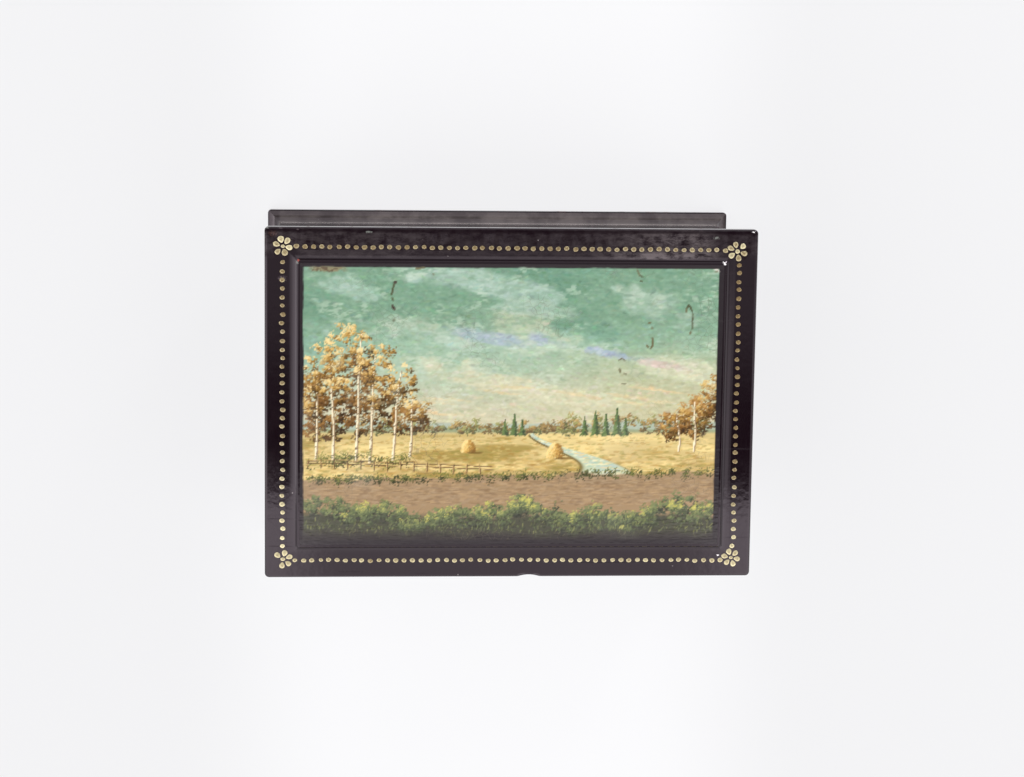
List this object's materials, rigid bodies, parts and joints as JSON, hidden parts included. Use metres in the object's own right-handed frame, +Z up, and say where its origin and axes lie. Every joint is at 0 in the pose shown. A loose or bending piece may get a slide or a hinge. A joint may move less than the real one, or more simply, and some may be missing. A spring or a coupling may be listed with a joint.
{
  "type": "lacquer box",
  "caption": "Rectangular black lacquered paper box with hollow mouldings, hinged lid, raised painted panel and a gold dotted border with corner flowers.",
  "frame": {"origin": "middle of the plinth board's underside, on the surface that the box stands on", "axes": "+X to the right along the box's front, +Y to the back where the hinge is, +Z up to the lid"},
  "size_m": [0.16, 0.115, 0.072],
  "materials": {
    "black_lacquer": "gloss",
    "red_lacquer": "gloss",
    "painted_panel": "gloss",
    "brass": "satin"
  },
  "bodies": {
    "box": {"plinth_board": "black_lacquer", "plinth_front": "black_lacquer", "plinth_back": "black_lacquer", "plinth_left": "black_lacquer", "plinth_right": "black_lacquer", "wall_tube": "black_lacquer", "floor_board": "red_lacquer", "liner_tube": "red_lacquer", "hinge_leaf_box": "brass", "cross_pins_box": "brass", "hinge_rod": "brass"},
    "lid": {"lid_board": "black_lacquer", "lid_rim": "black_lacquer", "picture_panel": "painted_panel", "cornice_front": "black_lacquer", "cornice_back": "black_lacquer", "cornice_left": "black_lacquer", "cornice_right": "black_lacquer", "hinge_leaf_lid": "brass", "cross_pins_lid": "brass"}
  },
  "joints": [
    {"name": "lid_hinge", "type": "hinge", "parent": "box", "child": "lid", "pos_m": [0, 0.052, 0.057], "axis": [-1, 0, 0], "range_deg": [0, 105]}
  ]
}
